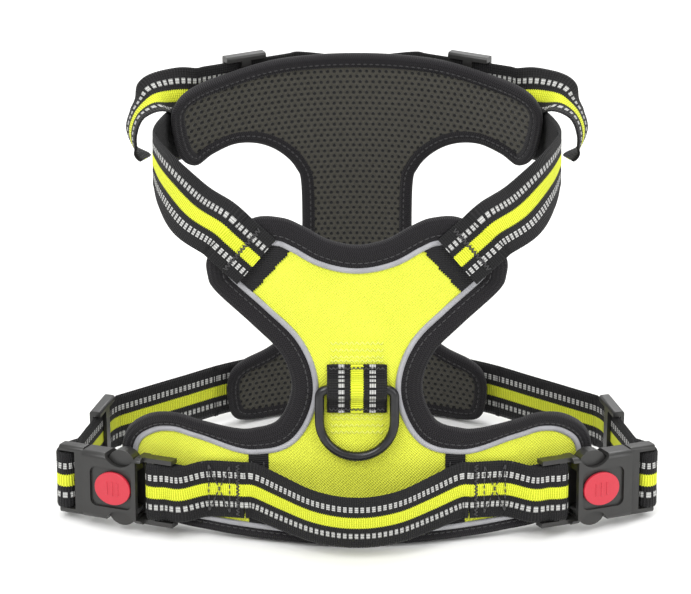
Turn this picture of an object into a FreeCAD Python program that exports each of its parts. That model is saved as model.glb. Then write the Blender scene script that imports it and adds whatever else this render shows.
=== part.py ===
"""No pull dog harness, standing on its lower edges with the neck opening up.

+X is the wearer's right-hand side, -Y is the side of the back panel, +Z is up.
The back panel lies on a cylinder whose axis leans towards the chest; everything sewn to it is built
in the upright "back frame" and leaned at the end. The chest panel lies on a smaller upright cylinder.
Left-hand pieces are built and mirrored.
"""
import FreeCAD, Part
import math
import os

V = FreeCAD.Vector

# ---------------------------------------------------------------- driving dimensions, millimetres
web_width = 25.0           # all webbing
web_thickness = 1.4
fabric_thickness = 1.0     # woven face of both panels
foam_thickness = 4.0       # spacer mesh and foam behind it
binding_width = 9.0        # edge binding, seen from the front
chest_binding_width = 5.4
binding_proud = 0.6        # how far the binding stands out of both faces
piping_width = 2.2
piping_proud = 0.8
tape_width = 8.5           # seam tapes between the centre and the wings
tape_thickness = 0.5

back_radius = 212.0        # curve of the back panel across the dog
back_lean = 7.0            # degrees
back_half_width = 101.0    # tip of a wing
back_height = 142.6        # shoulder corners
neck_dip_height = 131.0
shoulder_half_width = 62.5
waist_half_width = 27.4
waist_height = 69.0
armhole_height = 49.0
wing_height = 53.2
seam_tape_x = 42.0

chest_radius = 100.0       # inner face of the chest panel
chest_centre_y = 36.0
chest_height = 173.5
chest_half_width = 80.7    # end of an arm
stem_half_width = 25.0
lobe_half_width = 59.6
lobe_height = 31.0

strap_lift = 1.4           # gap from panel fabric to webbing, room for piping and tape
handle_half_span = 48.0    # half the distance between the handle's sewn ends
handle_end_height = 23.5
handle_middle_height = 16.5
handle_bulge = 17.5        # how far the handle stands in front of the panel's crest
handle_gap = 1.6           # from the handle's ends to the straps it continues

ring_wire = 4.0            # thickness of the D ring's wire
ring_inner_width = web_width + 2.4
ring_reach = 31.4          # from the pivot's centre to the outside of the bow
ring_corner = 3.3
ring_clearance = 0.3       # round the wire in its webbing tunnel
back_ring_height = 70.0
front_ring_height = 118.0
ring_web_height = 21.0
chest_web_height = 78.0    # length of the webbing sewn up the chest

buckle_length = 42.0       # female half
buckle_width = web_width + 5.0
buckle_thickness = 11.2
buckle_wall = 2.2
buckle_x = 77.6            # strap end of the female half
buckle_height = 20.8
buckle_angle = 24.5        # degrees from the X axis
buckle_clearance = 0.35
scallop_radius = 8.0       # finger notches over the catches
scallop_out = 3.0          # their centres, beyond the buckle's edges
catch_proud = 1.9          # how far a catch stands beyond the buckle's edge
frame_length = 13.5        # strap window end of the female half
male_length = 12.2         # part of the male half outside the female
button_length = 17.0
button_height = 14.6
button_travel = 2.0

glide_length = 19.0        # tri-glide, along the strap
glide_rail = 2.6           # its side rails
glide_clearance = 0.3

belly_strap_height = 16.0
belly_gap = 3.5            # from the fold round the plug's bar to the rest of the belly strap
belly_glide_at = 33.0      # distance of the slider from the belly strap's start
loop_height = 160.0        # adjusting strap on the chest's outer face
loop_out = 12.0            # its straight stretch, outside the chest's inner face
loop_reach = 10.0          # length of the fold round the plug's bar

outline_runs = 130         # straight runs round a panel
inset_spacing = 4.0        # shortest run of an inset edge


# ---------------------------------------------------------------- helpers
def unit(vector):
    return vector * (1.0 / vector.Length)


def box(x0, x1, y0, y1, z0, z1):
    return Part.makeBox(x1 - x0, y1 - y0, z1 - z0, V(x0, y0, z0))


def mirror(shape):
    return shape.mirror(V(0, 0, 0), V(1, 0, 0))


def polygon_face(points):
    return Part.Face(Part.makePolygon(points + points[:1]))


def outline(half):
    """Closed face in the XZ plane: short straight runs along a smooth curve through the left half's
    points, listed from top to bottom, and their mirror image."""
    left = [V(-x, 0, z) for x, z in half]
    right = [V(x, 0, z) for x, z in reversed(half) if x > 0]
    curve = Part.BSplineCurve()
    curve.interpolate(left + right, PeriodicFlag=True)
    return polygon_face(curve.toShape().discretize(Number=outline_runs + 1)[:-1])


def inset(face, distance):
    """Face whose edge runs inside another's at an even distance."""
    rim = face.OuterWire.discretize(Number=2 * outline_runs + 1)[:-1]
    count = len(rim)
    turning = sum(rim[i - 1].cross(rim[i]).y for i in range(count))
    side = 1.0 if turning > 0 else -1.0
    kept = []
    for i, point in enumerate(rim):
        along = unit(rim[(i + 2) % count] - rim[i - 2])
        moved = point + V(along.z, 0, -along.x) * (side * distance)
        clear = min(moved.distanceToPoint(other) for other in rim) > distance - 0.15
        spaced = not kept or min(moved.distanceToPoint(kept[k]) for k in (0, -1)) > inset_spacing
        if clear and spaced:
            kept.append(moved)
    return polygon_face(kept)


def shell(radius_out, radius_in, centre_y):
    """Upright tube wall from radius_in to radius_out."""
    tall = 600.0
    base = V(0, centre_y, -tall / 2)
    return Part.makeCylinder(radius_out, tall, base).cut(Part.makeCylinder(radius_in, tall, base))


def back_layer(face, inner_depth, outer_depth):
    """Part of the back panel between two depths below its fabric; negative depths stand proud."""
    block = face.extrude(V(0, 120, 0)).translated(V(0, -30, 0))
    wall = shell(back_radius - inner_depth, back_radius - outer_depth, back_radius)
    return block.common(wall)


def chest_layer(face, inner, outer):
    """Part of the chest panel between two distances outside its inner face."""
    block = face.extrude(V(0, 160, 0)).translated(V(0, chest_centre_y, 0))
    return block.common(shell(chest_radius + outer, chest_radius + inner, chest_centre_y))


def back_y(x, proud=0.0):
    """Y of the back panel's fabric at x, in the back frame."""
    reach = back_radius + proud
    return back_radius - math.sqrt(reach * reach - x * x)


def chest_xy(degrees, out):
    """Point on the left of the chest, at an angle from its middle, out from its inner face."""
    reach = chest_radius + out
    angle = math.radians(degrees)
    return -reach * math.sin(angle), chest_centre_y + reach * math.cos(angle)


lean = FreeCAD.Placement(V(0, 0, 0), FreeCAD.Rotation(V(1, 0, 0), -back_lean))


def leaned(shape):
    moved = shape.copy()
    moved.Placement = lean.multiply(moved.Placement)
    return moved


def lean_point(x, y, z):
    return lean.multVec(V(x, y, z))


def lean_direction(x, y, z):
    return lean.Rotation.multVec(V(x, y, z))


def catmull(p0, p1, p2, p3, t):
    return (p1 * 2 + (p2 - p0) * t + (p0 * 2 - p1 * 5 + p2 * 4 - p3) * t ** 2
            + (p1 * 3 - p0 - p2 * 3 + p3) * t ** 3) * 0.5


def ribbon(stations, steps=4):
    """Webbing through stations of (middle, direction across its width)."""
    middles = [s[0] for s in stations]
    across = [unit(s[1]) for s in stations]
    path, widths = [], []
    for i in range(len(stations) - 1):
        quad = [max(i - 1, 0), i, i + 1, min(i + 2, len(stations) - 1)]
        for k in range(steps):
            path.append(catmull(*[middles[q] for q in quad], k / steps))
            widths.append(catmull(*[across[q] for q in quad], k / steps))
    path.append(middles[-1])
    widths.append(across[-1])
    sections = []
    for i, point in enumerate(path):
        ahead = path[min(i + 1, len(path) - 1)] - path[max(i - 1, 0)]
        along = unit(ahead)
        width = unit(widths[i] - along * widths[i].dot(along))
        normal = unit(along.cross(width))
        w = width * (web_width / 2)
        n = normal * (web_thickness / 2)
        corners = [point - w - n, point + w - n, point + w + n, point - w + n]
        sections.append(Part.makePolygon(corners + corners[:1]))
    return Part.makeLoft(sections, True, True)


def flat_strip(points, radius, z0, z1):
    """Upright webbing following a plan line of straight runs with rounded corners."""
    edges = []
    start = V(*points[0], 0)
    for i in range(1, len(points) - 1):
        corner = V(*points[i], 0)
        before = unit(V(*points[i - 1], 0) - corner)
        after = unit(V(*points[i + 1], 0) - corner)
        half = math.acos(max(-1.0, min(1.0, before.dot(after)))) / 2
        trim = radius[i - 1] / math.tan(half)
        mid = corner + unit(before + after) * (radius[i - 1] / math.sin(half) - radius[i - 1])
        edges.append(Part.makeLine(start, corner + before * trim))
        edges.append(Part.Arc(corner + before * trim, mid, corner + after * trim).toShape())
        start = corner + after * trim
    edges.append(Part.makeLine(start, V(*points[-1], 0)))
    wire = Part.Wire(edges)
    sides = []
    for edge in wire.OrderedEdges:
        sides.append(thick_edge(edge))
    face = sides[0].multiFuse(sides[1:]).removeSplitter()
    return face.extrude(V(0, 0, z1 - z0)).translated(V(0, 0, z0))


def thick_edge(edge):
    """Face as wide as webbing is thick, centred on one line or arc in the XY plane."""
    half = web_thickness / 2
    first, last = edge.ParameterRange
    rows = []
    for side in (-half, half):
        row = []
        for k in range(3):
            at = first + (last - first) * k / 2
            along = edge.tangentAt(at)
            row.append(edge.valueAt(at) + V(-along.y, along.x, 0) * side)
        rows.append(row)
    if edge.Curve.TypeId == "Part::GeomLine":
        corners = [rows[0][0], rows[0][2], rows[1][2], rows[1][0]]
        return Part.Face(Part.makePolygon(corners + corners[:1]))
    inner = Part.Arc(*rows[0]).toShape()
    outer = Part.Arc(*reversed(rows[1])).toShape()
    close = [Part.makeLine(rows[0][2], rows[1][2]), Part.makeLine(rows[1][0], rows[0][0])]
    return Part.Face(Part.Wire([inner, close[0], outer, close[1]]))


# ---------------------------------------------------------------- back panel
back_outline = [
    (0, neck_dip_height),
    (12, neck_dip_height + 2.3),
    (22, back_height - 4.0),
    (31, back_height - 0.6),
    (43, back_height - 1.2),
    (shoulder_half_width - 7.5, back_height - 10.6),
    (shoulder_half_width - 0.3, back_height - 19.0),
    (shoulder_half_width, back_height - 26.6),
    (shoulder_half_width - 3.2, back_height - 33.0),
    (waist_half_width + 16.4, waist_height + 27.0),
    (waist_half_width + 4.4, waist_height + 14.8),
    (waist_half_width, waist_height),
    (waist_half_width + 5.6, armhole_height + 5.4),
    (seam_tape_x + 1.6, armhole_height + 0.7),
    (seam_tape_x + 10, armhole_height),
    (back_half_width - 34, armhole_height + 2.2),
    (back_half_width - 23, wing_height),
    (back_half_width - 12, wing_height - 2.2),
    (back_half_width - 2.6, wing_height - 9.8),
    (back_half_width, wing_height - 22),
    (back_half_width - 6, wing_height - 37),
    (back_half_width - 20, 5.6),
    (seam_tape_x + 20, 3.0),
    (seam_tape_x + 4, 1.6),
    (seam_tape_x - 9, 0.8),
    (20, 0.2),
    (0, 0),
]


def back_panel():
    """Every layer of the back panel, in the back frame."""
    outer = outline(back_outline)
    inner = inset(outer, binding_width)
    bare = inset(outer, binding_width + piping_width)
    parts = {}
    deep = fabric_thickness + foam_thickness
    parts["back_lining"] = back_layer(inner, fabric_thickness, deep)
    rim = back_layer(outer, -binding_proud, deep + binding_proud)
    parts["back_binding"] = rim.cut(back_layer(inner, -5, deep + 5))
    parts["back_piping"] = back_layer(inner, -piping_proud, 0).cut(back_layer(bare, -5, 5))
    fabric = back_layer(inner, 0, fabric_thickness)
    far = back_half_width + 20
    tall = back_height + 20
    parts["back_fabric"] = fabric.common(box(-seam_tape_x, seam_tape_x, -50, 90, -20, tall))
    parts["left_wing_fabric"] = fabric.common(box(-far, -seam_tape_x, -50, 90, -20, armhole_height))
    parts["right_wing_fabric"] = fabric.common(mirror(box(-far, -seam_tape_x, -50, 90, -20, armhole_height)))
    cap = box(-far, -seam_tape_x, -50, 90, armhole_height, tall)
    parts["back_fabric"] = parts["back_fabric"].multiFuse(
        [fabric.common(cap), mirror(fabric.common(cap))]).removeSplitter()
    tapes = back_layer(bare, -tape_thickness, 0)
    half = tape_width / 2
    low = box(-seam_tape_x - half, -seam_tape_x + half, -50, 90, -20, armhole_height)
    parts["left_seam_tape"] = tapes.common(low)
    parts["right_seam_tape"] = mirror(parts["left_seam_tape"])
    parts["left_shoulder_tape"] = tapes.common(shoulder_band())
    parts["right_shoulder_tape"] = mirror(parts["left_shoulder_tape"])
    return parts


shoulder_middle = V(-41.5, 0, 124.3)      # middle of the strap's sewn end
shoulder_across = unit(V(-16.9, 0, -19.8))  # along that end
shoulder_tape_width = 11.5


def shoulder_band():
    """Slab across the shoulder corner that the shoulder tape fills."""
    along = V(shoulder_across.z, 0, -shoulder_across.x) * -1
    middle = shoulder_middle + along * (shoulder_tape_width / 2 - 4.0)
    reach = 40.0
    corners = []
    for a, b in ((-1, -1), (1, -1), (1, 1), (-1, 1)):
        corners.append(middle + shoulder_across * (a * reach) + along * (b * shoulder_tape_width / 2))
    face = Part.Face(Part.makePolygon(corners + corners[:1]))
    return face.extrude(V(0, 140, 0)).translated(V(0, -50, 0))


# ---------------------------------------------------------------- chest panel
chest_outline = [
    (0, chest_height),
    (20, chest_height - 0.2),
    (38, chest_height - 1.0),
    (56, chest_height - 3.6),
    (chest_half_width - 8.7, chest_height - 6.4),
    (chest_half_width - 1.7, chest_height - 11.0),
    (chest_half_width, chest_height - 19.0),
    (chest_half_width - 3.2, chest_height - 35.0),
    (chest_half_width - 9.7, chest_height - 41.6),
    (chest_half_width - 17.0, chest_height - 38.6),
    (chest_half_width - 27.0, chest_height - 36.4),
    (stem_half_width + 18.0, chest_height - 38.6),
    (stem_half_width + 9.0, chest_height - 44.2),
    (stem_half_width + 2.6, chest_height - 52.0),
    (stem_half_width, chest_height - 62.0),
    (stem_half_width, lobe_height + 44.0),
    (stem_half_width + 1.2, lobe_height + 24.0),
    (stem_half_width + 6.0, lobe_height + 10.5),
    (stem_half_width + 16.0, lobe_height + 3.0),
    (lobe_half_width - 7.0, lobe_height - 1.0),
    (lobe_half_width - 1.5, lobe_height - 5.5),
    (lobe_half_width, lobe_height - 14.0),
    (lobe_half_width - 2.0, 5.5),
    (lobe_half_width - 9.0, 0.8),
    (34, 0),
    (0, 0),
]


def chest_panel():
    outer = outline(chest_outline)
    inner = inset(outer, chest_binding_width)
    deep = foam_thickness + fabric_thickness
    parts = {}
    parts["chest_lining"] = chest_layer(inner, 0, foam_thickness)
    parts["chest_fabric"] = chest_layer(inner, foam_thickness, deep)
    rim = chest_layer(outer, -binding_proud, deep + binding_proud)
    parts["chest_binding"] = rim.cut(chest_layer(inner, -5, deep + 5))
    web = box(-web_width / 2, web_width / 2, 0, 400, 0, chest_web_height)
    web.translate(V(0, 0, front_ring_height - chest_web_height / 2))
    wall = shell(chest_radius + deep + web_thickness, chest_radius + deep, chest_centre_y)
    parts["chest_webbing"] = web.common(wall)
    return parts


# ---------------------------------------------------------------- D rings
def ring_path():
    """Centre line of the wire: pivot bar at z = 0, bow below."""
    half = (ring_inner_width + ring_wire) / 2
    low = -(ring_reach - ring_wire / 2)
    bend = low + half
    c = ring_corner
    r = c * math.sqrt(0.5)
    return Part.Wire([
        Part.makeLine(V(-half + c, 0, 0), V(half - c, 0, 0)),
        Part.Arc(V(half - c, 0, 0), V(half - c + r, 0, -c + r), V(half, 0, -c)).toShape(),
        Part.makeLine(V(half, 0, -c), V(half, 0, bend)),
        Part.Arc(V(half, 0, bend), V(0, 0, low), V(-half, 0, bend)).toShape(),
        Part.makeLine(V(-half, 0, bend), V(-half, 0, -c)),
        Part.Arc(V(-half, 0, -c), V(-half + c - r, 0, -c + r), V(-half + c, 0, 0)).toShape(),
    ])


ring_tunnel = ring_wire / 2 + ring_clearance     # radius of the tunnel in the webbing
ring_offset = ring_tunnel + 0.35                 # from the surface to the pivot


def d_ring():
    """Ring with its pivot on the X axis, in the plane y = 0."""
    circle = Part.makeCircle(ring_wire / 2, V(0, 0, 0), V(1, 0, 0))
    return ring_path().makePipeShell([Part.Wire([circle])], True, True)


def ring_webbing():
    """Webbing folded over the pivot bar, surface side at y = ring_offset."""
    half_h = ring_web_height / 2
    flange = box(-web_width / 2, web_width / 2, ring_offset - web_thickness, ring_offset,
                 -half_h, half_h)
    hump = Part.makeCylinder(ring_tunnel + web_thickness, web_width, V(-web_width / 2, 0, 0), V(1, 0, 0))
    hump = hump.common(box(-web_width, web_width, -20, ring_offset, -20, 20))
    tunnel = Part.makeCylinder(ring_tunnel, web_width + 2, V(-web_width / 2 - 1, 0, 0), V(1, 0, 0))
    return flange.fuse(hump).cut(tunnel).removeSplitter()


def back_ring_at(shape):
    return shape.translated(V(0, -ring_offset - 0.05, back_ring_height))


front_ring_y = chest_centre_y + chest_radius + foam_thickness + fabric_thickness + web_thickness


def front_ring_at(shape):
    turned = shape.copy()
    turned.Placement = FreeCAD.Placement(
        V(0, front_ring_y + ring_offset, front_ring_height), FreeCAD.Rotation(V(0, 0, 1), 180))
    return turned


# ---------------------------------------------------------------- webbing on the back
strap_out = strap_lift + web_thickness / 2      # from the fabric to the webbing's middle


def on_back(x, z, proud=strap_out):
    return V(x, back_y(x, proud), z)


def handle():
    """Grab handle from sewn end to sewn end, drooping and standing off the panel."""
    up = V(0, 0, 1)
    drop = handle_end_height - handle_middle_height
    end = on_back(-handle_half_span + handle_gap, handle_end_height)
    rise = end.y + handle_bulge
    half = [(end, up), (end + V(5, -0.07 * rise, 0), up)]
    steps = ((0.33, 0.38, 0.40, -0.06), (0.58, 0.74, 0.78, -0.16), (0.80, 0.94, 0.95, -0.22))
    for share, out, low, tuck in steps:
        x = -handle_half_span * (1 - share)
        half.append((V(x, end.y - rise * out, handle_end_height - drop * low), V(0, tuck, 1)))
    middle = (V(0, -handle_bulge, handle_middle_height), V(0, -0.24, 1))
    other = [(V(-p.x, p.y, p.z), a) for p, a in reversed(half)]
    return ribbon(half + [middle] + other)


def handle_axis():
    """Point on the line that the handle swings about: the top edges of its sewn ends."""
    return V(0, back_y(handle_half_span, strap_lift), handle_end_height + web_width / 2)


def buckle_strap():
    """Left strap from the handle's sewn end, over the wing, to the buckle's bar."""
    up = V(0, 0, 1)
    steps = [(on_back(-handle_half_span, handle_end_height), up),
             (on_back(-handle_half_span - 6, handle_end_height), up),
             (on_back(-handle_half_span - 16, handle_end_height - 0.8), up),
             (buckle_point(-3.0, 0, 0), up),
             (buckle_point(bar_x - bar_half - buckle_clearance, 0, 0), up)]
    return ribbon(steps)


# ---------------------------------------------------------------- side release buckle
def buckle_frame():
    """Placement of the left buckle: local +X out along it, local +Y to its face, local +Z up."""
    turn = FreeCAD.Rotation(V(0, 0, 1), 180.0 - buckle_angle)
    y = back_y(buckle_x, buckle_thickness / 2 + strap_lift) - 0.4
    return FreeCAD.Placement(V(-buckle_x, y, buckle_height), turn)


def buckle_point(x, y, z):
    return buckle_frame().multVec(V(x, y, z))


def to_buckle(shape):
    moved = shape.copy()
    moved.Placement = buckle_frame().multiply(moved.Placement)
    return moved


def rounded_bar(x0, x1, half_y, half_z, edge):
    block = box(x0, x1, -half_y, half_y, -half_z, half_z)
    long_edges = [e for e in block.Edges if abs(e.tangentAt(0).x) > 0.9]
    return block.makeFillet(edge, long_edges)


bar_x = 10.0               # middle of the female half's strap bar
bar_half = 1.6
cavity_z = buckle_width / 2 - buckle_wall - 1.0
cavity_y = buckle_thickness / 2 - buckle_wall
window_x0 = frame_length + 3.5
window_x1 = window_x0 + 13.5
recess_x0 = frame_length + 4.5


def female_body():
    """Receiving half: strap frame, hollow body, side windows and the lock button's recess."""
    half_y = buckle_thickness / 2
    half_z = buckle_width / 2
    body = rounded_bar(0, buckle_length, half_y, half_z, 2.5)
    inside = web_width / 2 + 0.5
    for x0, x1 in ((-1, bar_x - bar_half), (bar_x + bar_half, frame_length + 2.5)):
        body = body.cut(box(x0, x1, -half_y - 1, half_y + 1, -inside, inside))
    body = body.cut(box(-1, frame_length, -half_y - 1, -half_y + 3.0, -half_z - 1, half_z + 1))
    body = body.cut(box(-1, frame_length, half_y - 3.0, half_y + 1, -half_z - 1, half_z + 1))
    body = body.cut(box(frame_length + 2.5, buckle_length + 1, -cavity_y, cavity_y, -cavity_z, cavity_z))
    body = body.cut(box(window_x0, window_x1, -cavity_y, cavity_y, -half_z - 1, half_z + 1))
    middle = (window_x0 + window_x1) / 2
    for edge in (-half_z - scallop_out, half_z + scallop_out):
        notch = Part.makeCylinder(scallop_radius, 2 * half_y + 2, V(middle, -half_y - 1, edge), V(0, 1, 0))
        body = body.cut(notch)
    length = button_length + button_travel + 1.0
    recess = rounded_plate(recess_x0, recess_x0 + length, half_y - 1.2, half_y + 1,
                           button_height / 2 + 1.6, 3.0)
    body = body.cut(recess)
    slot = box(recess_x0 + length / 2 - 4.5, recess_x0 + length / 2 + 4.5, 0, half_y + 1, -2.4, 2.4)
    return body.cut(slot)


def rounded_plate(x0, x1, y0, y1, half_z, corner):
    plate = box(x0, x1, y0, y1, -half_z, half_z)
    edges = [e for e in plate.Edges if abs(e.tangentAt(0).y) > 0.9]
    return plate.makeFillet(corner, edges)


def lock_button():
    """Oval push plate with a stem through the wall and raised grip ribs."""
    half_y = buckle_thickness / 2
    middle = recess_x0 + 0.5 + button_length / 2
    ellipse = Part.Ellipse(V(middle, 0, 0), button_length / 2, button_height / 2)
    ellipse.rotate(FreeCAD.Placement(V(0, 0, 0), FreeCAD.Rotation(V(1, 0, 0), 90), V(middle, 0, 0)))
    plate = Part.Face(Part.Wire([ellipse.toShape()])).extrude(V(0, 1.7, 0))
    plate.translate(V(0, half_y - 1.1, 0))
    stem_x = recess_x0 + (button_length + button_travel + 1.0) / 2 - 1.0
    stem = box(stem_x - 2.0, stem_x + 2.0, cavity_y - 0.8, half_y - 0.6, -1.9, 1.9)
    ribs = [box(middle + k * 2.6 - 0.5, middle + k * 2.6 + 0.5, half_y + 0.4, half_y + 0.95,
                -3.2 + 0.35 * abs(k), 3.2 - 0.35 * abs(k)) for k in (-1, 0, 1)]
    return plate.multiFuse([stem] + ribs).removeSplitter()


prong_root = buckle_length - 1.2
prong_inner = cavity_z - 4.2


def prong(side):
    """Flexing arm with its catch in the side window; side is +1 for the upper one."""
    z_in = prong_inner
    z_out = cavity_z - buckle_clearance
    half_y = cavity_y - buckle_clearance
    middle = (window_x0 + window_x1) / 2
    half_x = (window_x1 - window_x0) / 2 - buckle_clearance
    rise = buckle_width / 2 + catch_proud - z_out
    points = [(prong_root, z_in), (prong_root, z_out)]
    for k in range(13):
        turn = math.pi * k / 12
        points.append((middle + half_x * math.cos(turn), z_out + rise * math.sin(turn)))
    points += [(window_x0 - 0.6, z_out - 1.6), (window_x0 - 0.6, z_in + 0.8)]
    corners = [V(x, -half_y, z * side) for x, z in points]
    return Part.Face(Part.makePolygon(corners + corners[:1])).extrude(V(0, 2 * half_y, 0))


def male_base():
    """Plug half: strap frame with its window and bar, mouth plate and centre tongue."""
    x0 = buckle_length + buckle_clearance
    x1 = buckle_length + male_length
    half_z = buckle_width / 2 + 0.4
    frame = rounded_bar(x0, x1, 3.6, half_z, 1.6)
    window = box(x0 + 4.2, x1 - 3.6, -5, 5, -web_width / 2 - 0.5, web_width / 2 + 0.5)
    mouth = box(prong_root + 0.3, x0 + 1.0, -cavity_y + buckle_clearance, cavity_y - buckle_clearance,
                -cavity_z + buckle_clearance, cavity_z - buckle_clearance)
    for y0, y1 in ((-5, -male_bar_half), (male_bar_half, 5)):
        window = window.fuse(box(x0 + 4.2, x1 + 1, y0, y1, -web_width / 2 - 0.5, web_width / 2 + 0.5))
    tongue = box(frame_length + 8.0, x0 + 1.0, -1.3, 1.3, -2.6, 2.6)
    return frame.cut(window).multiFuse([mouth, tongue]).removeSplitter()


male_bar_x = buckle_length + male_length - 1.8
male_bar_half = 2.1


def end_loop():
    """Short fold of the belly strap round the male half's bar, in the back frame."""
    bar = buckle_point(male_bar_x, 0, 0)
    away = unit(V(0.26, 0.966, 0))
    side = V(away.y, -away.x, 0)
    inner = male_bar_half + 0.8
    outer = inner + web_thickness
    half = web_width / 2
    far = bar + away * loop_reach
    solid = None
    for sign, reach in ((1, outer), (-1, inner)):
        disc = Part.makeCylinder(reach, web_width, bar - V(0, 0, half))
        a, b = bar + side * reach, bar - side * reach
        c, d = far - side * reach, far + side * reach
        slab = Part.Face(Part.makePolygon([a, b, c, d, a])).extrude(V(0, 0, web_width))
        slab.translate(V(0, 0, -half))
        body = disc.fuse(slab)
        solid = body if sign == 1 else solid.cut(body)
    return solid.removeSplitter()


# ---------------------------------------------------------------- tri-glide sliders
glide_half_y = web_thickness / 2 + glide_clearance + 1.6


def tri_glide():
    """Slider round a straight strap: local X along the strap, local Y across its thickness."""
    half_x = glide_length / 2
    half_z = web_width / 2 + glide_clearance + glide_rail
    gap = web_thickness / 2 + glide_clearance
    frame = rounded_bar(-half_x, half_x, glide_half_y, half_z, 1.2)
    tall = web_width / 2 + glide_clearance
    frame = frame.cut(box(-half_x - 1, half_x + 1, -gap, gap, -tall, tall))
    bar = 2.2
    frame = frame.cut(box(-half_x + bar, half_x - bar, gap - 0.5, 9, -tall, tall))
    frame = frame.cut(box(-half_x - 1, -bar, -9, -gap + 0.5, -tall, tall))
    frame = frame.cut(box(bar, half_x + 1, -9, -gap + 0.5, -tall, tall))
    return frame


def glide_at(point, along):
    """Slider on a strap through a point; its end bars lie on the outer side."""
    angle = math.degrees(math.atan2(along.y, along.x))
    shape = tri_glide()
    shape.Placement = FreeCAD.Placement(point, FreeCAD.Rotation(V(0, 0, 1), angle))
    return shape


# ---------------------------------------------------------------- belly straps
def belly_route():
    """Plan points of the left belly strap, from the buckle's loop to the chest lobe."""
    bar = lean.multVec(buckle_point(male_bar_x, 0, 0))
    start = V(bar.x, bar.y, 0) + unit(V(0.26, 0.966, 0)) * (loop_reach + belly_gap)
    knee = start + unit(V(0.26, 0.966, 0)) * 46.0
    sewn = chest_xy(35.3, 7.9)
    end = chest_xy(22.0, 8.2)
    return [(start.x, start.y), (knee.x, knee.y), sewn, end]


def belly_strap():
    low = belly_strap_height - web_width / 2
    return flat_strip(belly_route(), (16.0, 90.0), low, low + web_width)


def belly_glide():
    points = belly_route()
    start = V(*points[0], belly_strap_height)
    along = unit(V(*points[1], belly_strap_height) - start)
    return glide_at(start + along * belly_glide_at, along)


# ---------------------------------------------------------------- shoulder straps
def shoulder_strap():
    """Left strap from the back panel's corner, round and onto the chest arm's outer face."""
    stations = []
    along = V(shoulder_across.z, 0, -shoulder_across.x)
    for reach in (0.0, 7.5, 15.0, 21.0):
        flat = shoulder_middle + along * reach
        point = V(flat.x, back_y(flat.x, strap_out + 0.8), flat.z)
        stations.append((lean.multVec(point), lean_direction(*shoulder_across)))
    stations += [
        (V(-69.0, 33, 139.6), V(-0.60, -0.05, -0.78)),
        (V(-79.8, 50, 145.6), V(-0.33, 0.16, -0.93)),
        (V(-85.2, 66, 147.5), V(-0.10, 0.14, -0.98)),
        (V(-86.8, 80, 147.5), V(0, 0.02, -1)),
    ]
    for angle in (50.0, 45.0, 40.0, 35.0):
        x, y = chest_xy(angle, foam_thickness + fabric_thickness + binding_proud + 1.2)
        stations.append((V(x, y, 146.5), V(0, 0, -1)))
    return ribbon(stations)


def loop_ends():
    outer = chest_xy(40.0, loop_out)
    inner = chest_xy(13.5, loop_out)
    return V(*outer, loop_height), V(*inner, loop_height)


def strap_loop():
    """Left adjusting loop: along the chest's outer face, out over its arm, and curled back down."""
    outer, inner = loop_ends()
    down = V(0, 0, -1)
    last = V(*chest_xy(6.5, 8.6), loop_height - 1.0)
    stations = [
        (last, down),
        (inner, down),
    ]
    stations += [(inner + (outer - inner) * share, down) for share in (0.1, 0.3, 0.5, 0.7, 0.9)]
    stations += [
        (outer, down),
        (V(-81.5, 118.0, 160.5), V(0.05, -0.62, -0.78)),
        (V(-89.5, 110.5, 161.0), V(0.10, -0.96, -0.26)),
        (V(-95.8, 107.0, 156.5), V(0.14, -0.98, -0.05)),
        (V(-98.6, 105.0, 149.0), V(0.22, -0.97, 0.0)),
        (V(-97.0, 103.5, 141.5), V(0.22, -0.97, 0.0)),
        (V(-92.5, 102.0, 137.5), V(0.20, -0.98, 0.0)),
    ]
    return ribbon(stations)


def shoulder_glide():
    outer, inner = loop_ends()
    return glide_at(inner + (outer - inner) * 0.52, unit(inner - outer))


# ---------------------------------------------------------------- assembly
def build():
    parts = {}
    on_panel = back_panel()
    on_panel["back_ring_webbing"] = back_ring_at(ring_webbing())
    on_panel["back_ring"] = back_ring_at(d_ring())
    on_panel["handle_strap"] = handle()
    left = {
        "buckle_strap": buckle_strap(),
        "female_body": to_buckle(female_body()),
        "lock_button": to_buckle(lock_button()),
        "male_base": to_buckle(male_base()),
        "upper_prong": to_buckle(prong(1)),
        "lower_prong": to_buckle(prong(-1)),
        "end_loop": end_loop(),
    }
    for name, shape in left.items():
        on_panel["left_" + name] = shape
        on_panel["right_" + name] = mirror(shape)
    for name, shape in on_panel.items():
        parts[name] = leaned(shape)
    parts.update(chest_panel())
    parts["front_ring_webbing"] = front_ring_at(ring_webbing())
    parts["front_ring"] = front_ring_at(d_ring())
    upright = {
        "shoulder_strap": shoulder_strap(),
        "strap_loop": strap_loop(),
        "shoulder_glide": shoulder_glide(),
        "belly_strap": belly_strap(),
        "belly_glide": belly_glide(),
    }
    for name, shape in upright.items():
        parts["left_" + name] = shape
        parts["right_" + name] = mirror(shape)
    return parts


def origin_shift(parts):
    """Move that puts the origin under the middle of the harness, on the surface it stands on."""
    lows, highs = [], []
    for shape in parts.values():
        corners = shape.tessellate(0.02)[0]
        lows.append(V(*[min(c[k] for c in corners) for k in range(3)]))
        highs.append(V(*[max(c[k] for c in corners) for k in range(3)]))
    low = [min(c[k] for c in lows) for k in range(3)]
    high = [max(c[k] for c in highs) for k in range(3)]
    return V(-(low[0] + high[0]) / 2, -(low[1] + high[1]) / 2, -low[2])


def main():
    os.makedirs("parts", exist_ok=True)
    parts = build()
    shift = origin_shift(parts)
    for name, shape in parts.items():
        shape.translated(shift).exportStep("parts/" + name + ".step")


main()
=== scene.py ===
"""Looks of a no pull dog harness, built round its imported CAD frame.

Lengths below are millimetres in the design frame; place() turns them into metres in the row frame.
The back panel is drawn upright and leaned at the end, as in the CAD.
"""

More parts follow.
